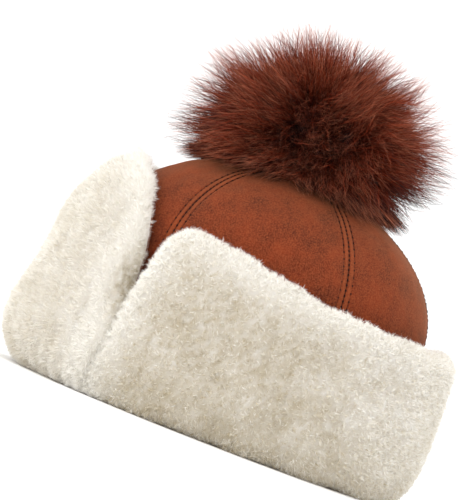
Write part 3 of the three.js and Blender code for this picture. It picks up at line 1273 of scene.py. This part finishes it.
    def lumps(self, points: np.ndarray, from_end: np.ndarray) -> np.ndarray:
        """The pile's soft unevenness, as distance out.

        Broad waves, small ones like locks of wool, and upright folds beside the slit where
        the flap's end is pressed, as a sine across them that fades upwards and away.

        Args:
            points: places on the wool.
            from_end: distance from the flap's end, in mm.

        Returns:
            Distance out, in metres.
        """
        lump = HABITS[self.lie].lump
        uneven = 0.0
        for turn, (height, length) in enumerate(((0.7, 34), (0.3, 8), (lump, 3.6))):
            uneven = uneven + height * waves(points, length * MM, self.seed + turn)
        wander = 1.6 * waves(points, 40 * MM, self.seed + 8)
        ridge = np.sin(2 * math.pi * from_end / self.fold_pitch + wander)
        near = bell(from_end, self.folds_at, 17) * bell(points[..., 2], 0, 58 * MM)
        return MM * (uneven + self.fold_depth * ridge * near)

    def pale(self, points: np.ndarray, from_end: np.ndarray, down: np.ndarray) -> np.ndarray:
        """How pale the wool is: whitest at the ends and top edge, paler behind, painted shade in
        hollows.

        Args:
            points: places on the wool.
            from_end: distance from the flap's end, in mm.
            down: distance below the top edge, in mm.

        Returns:
            The tone, from 0 to 1.
        """
        edge = np.minimum(from_end, down + 3) - 6
        rim = bell(np.maximum(edge, 0), 0, self.rim_reach)
        mottle = 0.05 * waves(points, 30 * MM, self.seed + 3)
        mottle = mottle + 0.04 * waves(points, 8 * MM, self.seed + 4)
        rear = self.rear_pale * np.clip((points[..., 1] - 45 * MM) / (50 * MM), 0, 1)
        rear = rear * np.clip(0.3 + points[..., 2] / (75 * MM), 0, 1)
        brightest = self.rim_tone - 0.14 * np.clip((points[..., 1] - 60 * MM) / (50 * MM), 0, 1)
        tone = blend(self.middle_tone + rear + mottle, brightest, self.rim_share * rim)
        # painted shade low on the fold, where it turns down to the floor, with a creamier tone
        # there too
        tone = tone - self.fold_shade * bell(points[..., 2], 0, 28 * MM)
        # painted shade deep in the slit, broken up as curls
        deep = bell(points[..., 2] / MM, self.end_shade_z, 18)
        shade = self.end_shade * deep * bell(from_end, 0, 6)
        tone = tone - shade * (1 + 0.9 * waves(points, 3 * MM, self.seed + 9))
        curl = HABITS[self.lie].spread * (1 - 0.6 * np.maximum(rim, 2 * rear))
        return tone + curl * waves(points, 2.3 * MM, self.seed + 7, count=11)

    def make_shell(
        self, wool: bpy.types.Material, hide: bpy.types.Material
    ) -> bpy.types.Object:
        """The flap's body: the ground that the wool grows on, and the hide behind it.

        Args:
            wool: the wool's finish.
            hide: the finish of the hide side.

        Returns:
            The body, which replaces the CAD node.
        """
        outer, inner, from_end, down = self.ground()
        outer[..., 2] = np.maximum(outer[..., 2], FLOOR_GAP)
        parts, outside = closed_shell(outer, inner)
        count = from_end.size
        tone = np.clip(self.pale(outer, from_end, down), 0, 1).ravel()
        flesh = np.clip(0.5 + 0.3 * waves(inner, 18 * MM, self.seed + 5), 0, 1).ravel()
        walls = sum(len(f) for f in parts.faces[:2])
        parts.slots = np.concatenate([np.zeros(walls), np.ones(outside)])
        zero = np.zeros(count)
        parts.attributes = {
            # the ground is darker than its fibres and takes a little root colour: painted shade
            # between the fibres
            "tone": np.concatenate([tone * 0.9, tone]),
            "along": np.concatenate([zero + 0.45, zero + 0.45]),
            "rub": np.concatenate([zero, 0.3 * flesh]),
            # random stains on the hide side
            "soil_and_shade": np.concatenate([zero, 0.25 * flesh]),
        }
        piece = parts.make(self.node + "_body", [wool, hide], smooth=True)
        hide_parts(self.node)
        return piece

    def make_pile(
        self, name: str, count: int, pile: Pile, spread: float, wool: bpy.types.Material
    ) -> bpy.types.Object:
        """One layer of wool: fibres all over the wool side and round its edges.

        Args:
            name: what the layer is called after the flap's name.
            count: how many fibres.
            pile: the kind of fibre.
            spread: how much the fibres differ in tone.
            wool: the finish.

        Returns:
            The wool.
        """
        draw = np.random.default_rng(self.seed + count)
        ground, _, from_end, down = self.ground()
        weight = np.ones((ground.shape[0] - 1, ground.shape[1] - 1))
        weight[:, :3] = self.fold_weight
        fluffy = bell(np.maximum(np.minimum(from_end, down + 3) - 3, 0), 0, 9)
        weight = weight * (1 + self.edge_weight * fluffy[:-1, :-1])
        spots = Scatter.over(ground, count, draw, weight)
        cell = (spots.column.astype(int), spots.row.astype(int))
        tone = self.pale(spots.points, from_end[cell], down[cell])
        tone = tone + draw.normal(0, spread, count) * (1 - 0.6 * fluffy[cell])
        length = 1 + 0.14 * waves(spots.points, 6 * MM, self.seed + 6)
        length = length + self.edge_length * fluffy[cell]
        parts = pile.grow(spots.points, spots.normals, tone, draw, length)
        piece = parts.make(f"{self.node}_{name}", [wool], smooth=False)
        return piece

    def build(
        self, wool: bpy.types.Material, hide: bpy.types.Material
    ) -> list[bpy.types.Object]:
        """Builds the body and its wool.

        Args:
            wool: the wool's finish.
            hide: the finish of the hide side.

        Returns:
            The pieces.
        """
        bent = Pile(self.lie, steps=3)
        straight = Pile(self.lie, steps=2, length=3.6 * MM, width=0.34 * MM)
        spread = HABITS[self.lie].spread
        return [
            self.make_shell(wool, hide),
            self.make_pile("wool", self.bent_fibres, bent, spread, wool),
            self.make_pile("fine_wool", self.straight_fibres, straight, 0.7 * spread, wool),
        ]


def grid_normals(grid: np.ndarray) -> np.ndarray:
    """The way out at each point of a grid: the cross product of its two slopes."""
    return unit(np.cross(np.gradient(grid, axis=0), np.gradient(grid, axis=1)))


@dataclass(frozen=True)
class Coat:
    """One kind of hair in the fur. Lengths are shares of the pom-pom's outer form."""

    hairs: int
    steps: int
    shortest: float
    longest: float
    width: float
    tone: float
    seed: int
    wisps: float = 0.0  # the share of hairs that stand out past the rest
    wisp_rise: float = 1.355  # how far they reach straight up
    wisp_side: float = 1.29  # and level
    black_tips: float = 0.3
    droop: float = 2 * MM


@dataclass
class PomPom:
    """The pom-pom: long hair in locks that radiate from a small core."""

    head: HeadForm
    middle_z: float = 184 * MM
    radius: float = 71.5 * MM
    rise: float = 54.5 * MM
    fall: float = 90 * MM
    lowest: float = -0.62
    rear_skew: float = 0.055
    core: float = 0.6
    core_lumps: float = 0.05
    core_rows: int = 40
    core_columns: int = 72
    locks: int = 1300
    lock_stray: float = 0.05  # how far each lock leans by itself
    lock_flow: float = 0.09  # how far locks that are near each other lean alike
    lock_spread: float = 0.08  # how far from its lock's way a hair starts
    tip_spread: float = 0.025
    gather: float = 0.7  # how far its tip is drawn in to the lock
    low_gather: float = 0.36  # and how much more so for low hair
    bow: float = 0.03
    lying_short: float = 0.86  # how long the hair is that lies on the crown
    lying_long: float = 0.94
    rear_cut: float = 0.18  # how much shorter the hair is low behind
    flank_cut: float = 0.06  # and at the sides
    lock_tones: float = 0.3  # how much the locks differ in tone
    hair_tones: float = 0.33  # and the hairs
    root_at: float = 0.45  # where the hairs start, as a share of the outer form
    under_hairs: int = 36000
    guard_hairs: int = 38000
    clear: float = 2.4 * MM
    layer: float = 9 * MM  # how thick the hair lies on the crown
    lying_from: float = -0.28  # hair that points lower than this lies on the crown
    flank_black: float = 0.35  # the share of black tips at the sides
    lying_black: float = 0.5  # and of the hair that lies on the crown
    forward_sag: float = 0.15  # how far low hair hangs forward, for its depth below the middle

    def reach(self, ways: np.ndarray) -> np.ndarray:
        """How far the outer form is in each direction: half an ellipsoid over another.

        Args:
            ways: directions from the pom-pom's middle.

        Returns:
            The distance in each direction.
        """
        height = np.where(ways[..., 2] > 0, self.rise, self.fall)
        wide = np.hypot(ways[..., 0], ways[..., 1]) / self.radius
        rear = 1 + self.rear_skew * np.maximum(ways[..., 1], 0)
        return rear / np.hypot(wide, ways[..., 2] / height)

    def make_core(self, fur: bpy.types.Material) -> bpy.types.Object:
        """The dense dark heart of the fur: the outer form shrunk, lumpy, lying on the crown.

        Args:
            fur: the finish.

        Returns:
            The core, which replaces the CAD node.
        """
        rows, columns = self.core_rows, self.core_columns
        tilt = np.linspace(0, math.pi, rows + 2)[1:-1, None]
        turn = (np.arange(columns) * 2 * math.pi / columns)[None]
        x, y = np.sin(tilt) * np.cos(turn), np.sin(tilt) * np.sin(turn)
        ways = np.stack(np.broadcast_arrays(x, y, np.cos(tilt)), axis=-1)
        ways = np.concatenate([ways.reshape(-1, 3), [UP, -UP]])
        size = self.core * self.reach(ways) * (1 + self.core_lumps * waves(ways, 0.35, 21))
        points = ways * size[:, None] + UP * self.middle_z
        points = self.head.push_outside(points, self.clear)
        index = np.arange(rows * columns).reshape(rows, columns)
        ring = np.concatenate([index, index[:, :1]], axis=1)
        caps = ring_caps(ring, rows * columns, rows * columns + 1)
        count = len(points)
        parts = MeshParts(points, [grid_cells(ring), caps])
        parts.attributes = {
            "tone": np.full(count, 0.2),
            "along": np.full(count, 0.32),
            "tip": np.zeros(count),
        }
        piece = parts.make("pom_pom_core", [fur], smooth=True)
        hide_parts("pom_pom")
        return piece

    def make_hair(
        self, name: str, coat: Coat, fur: bpy.types.Material
    ) -> bpy.types.Object:
        """Hair in locks. A hair starts near its lock's way and draws in to it at the tip.

        Its distance from the middle grows evenly, its direction turns with the square of
        the way along, and gravity lowers it with the cube. Low hairs end sooner, where
        they lie on the crown.

        Args:
            name: the piece's name.
            coat: what kind of hair.
            fur: the finish.

        Returns:
            The hair.
        """
        draw = np.random.default_rng(coat.seed)
        count = coat.hairs
        lock_z = draw.uniform(self.lowest, 1, self.locks)
        lock_turn = draw.uniform(0, 2 * math.pi, self.locks)
        wide = np.sqrt(1 - lock_z**2)
        lock_way = np.stack([wide * np.cos(lock_turn), wide * np.sin(lock_turn), lock_z], axis=-1)
        flow = np.stack([waves(lock_way, 0.9, 53 + k) for k in range(3)], axis=-1)
        lock_lean = self.lock_flow * flow + draw.normal(0, self.lock_stray, (self.locks, 3))
        lock_size = draw.uniform(0.92, 1.06, self.locks)
        lock_tone = draw.uniform(0, 1, self.locks)
        lock = draw.integers(0, self.locks, count)
        way = unit(lock_way[lock] + draw.normal(0, self.lock_spread, (count, 3)))
        stray = draw.normal(0, self.tip_spread, (count, 3))
        gathered = self.gather + self.low_gather * np.clip(0.2 - lock_way[lock][:, 2:], 0, 0.5)
        end = unit(blend(way, lock_way[lock], gathered) + lock_lean[lock] + stray)
        aside, behind, height = end.T
        lying = np.clip((self.lying_from - height) / 0.3, 0, 1)
        size = blend(coat.shortest, coat.longest, draw.random(count) ** 1.3) * lock_size[lock]
        wisp = draw.random(count) < coat.wisps
        reach = blend(coat.wisp_side, coat.wisp_rise, np.maximum(height, 0))
        size = np.where(wisp, blend(size, reach, draw.random(count) ** 0.65), size)
        rear = np.clip(behind, 0, 1)
        low_rear = rear * bell(height, -0.22, 0.19)
        flank = np.clip((np.abs(aside) - 0.82) / 0.14, 0, 1)
        lying_size = blend(self.lying_short, self.lying_long, lock_tone[lock]) + 0.08 * rear
        size = blend(size, np.clip(size, lying_size - 0.05, lying_size), lying)
        size = self.reach(end) * size * (1 - self.rear_cut * low_rear - self.flank_cut * flank)
        t = np.linspace(0, 1, coat.steps)[None, :, None]
        bow = draw.normal(0, self.bow, (count, 1, 3))
        ways = unit(blend(way[:, None], end[:, None], t**2) + bow * np.sin(math.pi * t))
        start = self.root_at * self.reach(way)
        distance = blend(start[:, None, None], size[:, None, None], t)
        paths = ways * distance + UP * self.middle_z
        level = (1 - np.abs(height)) * (1 - lying)
        paths[..., 2] -= coat.droop * level[:, None] * t[..., 0] ** 3
        paths[..., 1] -= self.forward_sag * np.maximum(self.middle_z - paths[..., 2], 0)
        clear = self.clear + draw.uniform(0, self.layer, (count, 1, 1))
        paths = self.head.push_outside(paths, clear)
        taper = np.interp(t[0, :-1, 0], [0, 0.5, 0.8, 1], [1.0, 1.0, 0.7, 0.3])
        width = draw.uniform(0.7, 1.2, count)[:, None] * blend(taper, 0.9, 0.6 * wisp[:, None])
        width *= 1 + 0.5 * lying[:, None]
        low = np.clip((0.35 - height) / 0.45, 0, 1)
        fore_aft = np.clip((np.abs(behind) - 0.68) / 0.2, 0, 1)
        fore_aft *= np.where(behind < 0, 0.6, 1)
        half = 0.5 * coat.width * width * (1 + 0.3 * (low * fore_aft)[:, None])
        # black tips: the fur's own, and also more of them at the sides and on hair lying on the
        # crown, as painted shade
        black = np.maximum(coat.black_tips * low * fore_aft, self.flank_black * flank)
        black = np.maximum(black, self.lying_black * lying)
        tip = (draw.random(count) < 0.05 + black).astype(float)
        tone = coat.tone + self.lock_tones * lock_tone[lock]
        tone += draw.normal(0, self.hair_tones, count)
        # painted shade: darker where one looks into the fur at the sides, and where the hair lies
        # on the crown under the rest
        tone -= 0.18 * flank + 0.25 * lying
        facing = unit(draw.normal(size=(count, 3)))
        parts = blades(paths, half, facing, {"tone": np.clip(tone, 0, 1), "tip": tip})
        piece = parts.make(name, [fur], smooth=False)
        return piece

    def build(self, fur: bpy.types.Material) -> list[bpy.types.Object]:
        """Builds the core, the underfur and the longer guard hair.

        Args:
            fur: the finish.

        Returns:
            The pieces.
        """
        under = Coat(
            hairs=self.under_hairs,
            steps=3,
            shortest=0.68,
            longest=0.93,
            width=0.45 * MM,
            tone=0.0,
            seed=51,
        )
        guard = Coat(
            hairs=self.guard_hairs,
            steps=4,
            shortest=0.84,
            longest=1.07,
            width=0.25 * MM,
            tone=0.35,
            seed=52,
            wisps=0.3,
            black_tips=0.85,
            droop=4 * MM,
        )
        return [
            self.make_core(fur),
            self.make_hair("pom_pom_underfur", under, fur),
            self.make_hair("pom_pom_guard_hair", guard, fur),
        ]


@dataclass
class Studio:
    """The pale floor, the soft light and the camera."""

    image_height_px: int = 500
    mm_per_px: float = 0.589  # at the hat's upright axis
    distance: float = 1.5
    azimuth: float = 93.2
    camera_z: float = 60 * MM
    aim_right: float = -19.8 * MM  # from the hat's axis, as the camera sees it
    aim_z: float = 108.1 * MM
    roll: float = 21.3  # the hat leans this far clockwise in the picture
    sensor: float = 36.0
    floor_radius: float = 30.0
    floor_sides: int = 96
    surround: float = 1.2  # the even light from all round
    light_aim_z: float = 0.12

    def make_floor(self) -> bpy.types.Object:
        """A wide pale disc, a little uneven in tone.

        Returns:
            The floor.
        """
        material, tree = new_material("floor_paper")
        place = add_node(tree, "ShaderNodeTexCoord").outputs["Object"]
        grain = add_node(tree, "ShaderNodeTexNoise", {"Vector": place, "Scale": 3.0}).outputs[0]
        inputs = {0: grain, 6: linear("#fafafa"), 7: linear("#ffffff")}
        colour = add_node(tree, "ShaderNodeMix", inputs, data_type="RGBA").outputs[2]
        inputs = {"Base Color": colour, "Roughness": 0.9, "Specular IOR Level": 0.1}
        shader = add_node(tree, "ShaderNodeBsdfPrincipled", inputs)
        add_node(tree, "ShaderNodeOutputMaterial", {"Surface": shader.outputs[0]})
        rim = np.arange(self.floor_sides)
        turn = rim * 2 * math.pi / self.floor_sides
        ring = np.stack([np.cos(turn), np.sin(turn), 0 * turn], axis=-1) * self.floor_radius
        middle = np.full(self.floor_sides, self.floor_sides)
        parts = MeshParts(
            np.concatenate([ring, [[0, 0, 0]]]),
            [np.stack([middle, rim, np.roll(rim, -1)], axis=1)],
        )
        floor = parts.make("floor", [material], smooth=False)
        return floor

    def make_light(self, name: str, place: tuple, size: float, power: float) -> bpy.types.Object:
        """A square soft light that faces the hat.

        Args:
            name: its name.
            place: where it stands.
            size: its side.
            power: its power in watts.

        Returns:
            The light.
        """
        lamp = bpy.data.lights.new(name, "AREA")
        lamp.size = size
        lamp.energy = power
        light = bpy.data.objects.new(name, lamp)
        light.location = place
        aim = Vector((0, 0, self.light_aim_z)) - Vector(place)
        light.rotation_euler = aim.to_track_quat("-Z", "Y").to_euler()
        bpy.context.scene.collection.objects.link(light)
        return light

    def make_world(self) -> None:
        """An even white surround."""
        world = bpy.data.worlds.new("surround")
        world.use_nodes = True
        background = world.node_tree.nodes["Background"]
        background.inputs[0].default_value = linear("#ffffff")
        background.inputs[1].default_value = self.surround
        bpy.context.scene.world = world

    def make_camera(self) -> bpy.types.Object:
        """The camera, nearly level at the wearer's left, rolled as the photograph is.

        Returns:
            The camera.
        """
        azimuth = math.radians(self.azimuth)
        back = Vector((math.sin(azimuth), -math.cos(azimuth), 0))
        right = Vector((math.cos(azimuth), math.sin(azimuth), 0))
        place = back * self.distance + Vector((0, 0, self.camera_z))
        aim = right * self.aim_right + Vector((0, 0, self.aim_z))
        focal_px = self.distance / (self.mm_per_px * MM)
        data = bpy.data.cameras.new("camera")
        data.sensor_width = self.sensor
        data.lens = focal_px * self.sensor / self.image_height_px
        data.clip_start = 0.05
        data.clip_end = 100
        camera = bpy.data.objects.new("camera", data)
        turn = (aim - place).to_track_quat("-Z", "Y").to_matrix().to_4x4()
        roll = Matrix.Rotation(math.radians(self.roll), 4, "Z")
        camera.matrix_world = Matrix.Translation(place) @ turn @ roll
        bpy.context.scene.collection.objects.link(camera)
        bpy.context.scene.camera = camera
        return camera

    def build(self) -> None:
        """Sets up the floor, the surround, the lights and the camera."""
        self.make_floor()
        self.make_world()
        self.make_light("key", (0.8, -1.3, 1.1), 1.0, 6.0)
        self.make_light("fill", (1.5, -0.1, 0.7), 1.4, 11.0)
        self.make_light("back_fill", (-1.3, 0.3, 1.2), 1.2, 4.0)
        self.make_camera()
        bpy.context.scene.view_settings.view_transform = "Standard"


def main() -> None:
    """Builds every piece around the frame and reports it."""
    logging.basicConfig(level=logging.INFO, format="%(message)s")
    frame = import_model()
    head = HeadForm()
    suede = Suede().material()
    wool = ShearedWool().material()
    thread = WaxedThread().material()
    fur = DyedFur().material()
    front = TurnedFlap(
        head=head,
        node="front_flap",
        middle=0,
        slit_side="front",
        top_line=(
            TopRow(0, 133.2),
            TopRow(16, 132.8),
            TopRow(30, 131.4),
            TopRow(42, 129),
            TopRow(60, 127),
        ),
        thickness=(
            ThickRow(0, 26.5),
            ThickRow(38, 27.4),
            ThickRow(74, 23.5),
            ThickRow(104, 19),
            ThickRow(131, 17.6),
        ),
        corner_reach=50,
        corner_drop=44,
        columns=110,
        bent_fibres=18000,
        straight_fibres=100000,
        lie=Lie.COMBED,
        middle_tone=0.74,
        bulge=4.5,
        fold_depth=1.1,
        end_shade=0.5,
        lip_forward=0.46,
        lip_height=0.48,
        seed=61,
    )
    ear = TurnedFlap(
        head=head,
        node="ear_flap",
        middle=180,
        slit_side="ear",
        top_line=(
            TopRow(0, 94.6),
            TopRow(30, 93.6),
            TopRow(55, 92.8),
            TopRow(75, 95),
            TopRow(90, 98.4),
            TopRow(100, 102.2),
            TopRow(125, 106.5),
        ),
        thickness=(ThickRow(0, 23.6), ThickRow(38, 25), ThickRow(80, 23.5), ThickRow(110, 21)),
        corner_reach=20,
        corner_drop=15,
        columns=230,
        bent_fibres=46000,
        straight_fibres=150000,
        lie=Lie.CURLY,
        middle_tone=0.54,
        fold_depth=0.0,
        seed=71,
    )
    pieces = Crown(head).build(suede, wool, thread)
    pieces += front.build(wool, suede)
    pieces += ear.build(wool, suede)
    pieces += PomPom(head).build(fur)
    for piece in pieces:
        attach(piece, "root")
        piece.data.calc_loop_triangles()
        LOG.info("%s: %d triangles", piece.name, len(piece.data.loop_triangles))
    post = frame["nodes"]["pom_post"]
    post.data.materials.clear()
    post.data.materials.append(MouldedNylon().material())
    Studio().build()


if __name__ == "__main__":
    main()
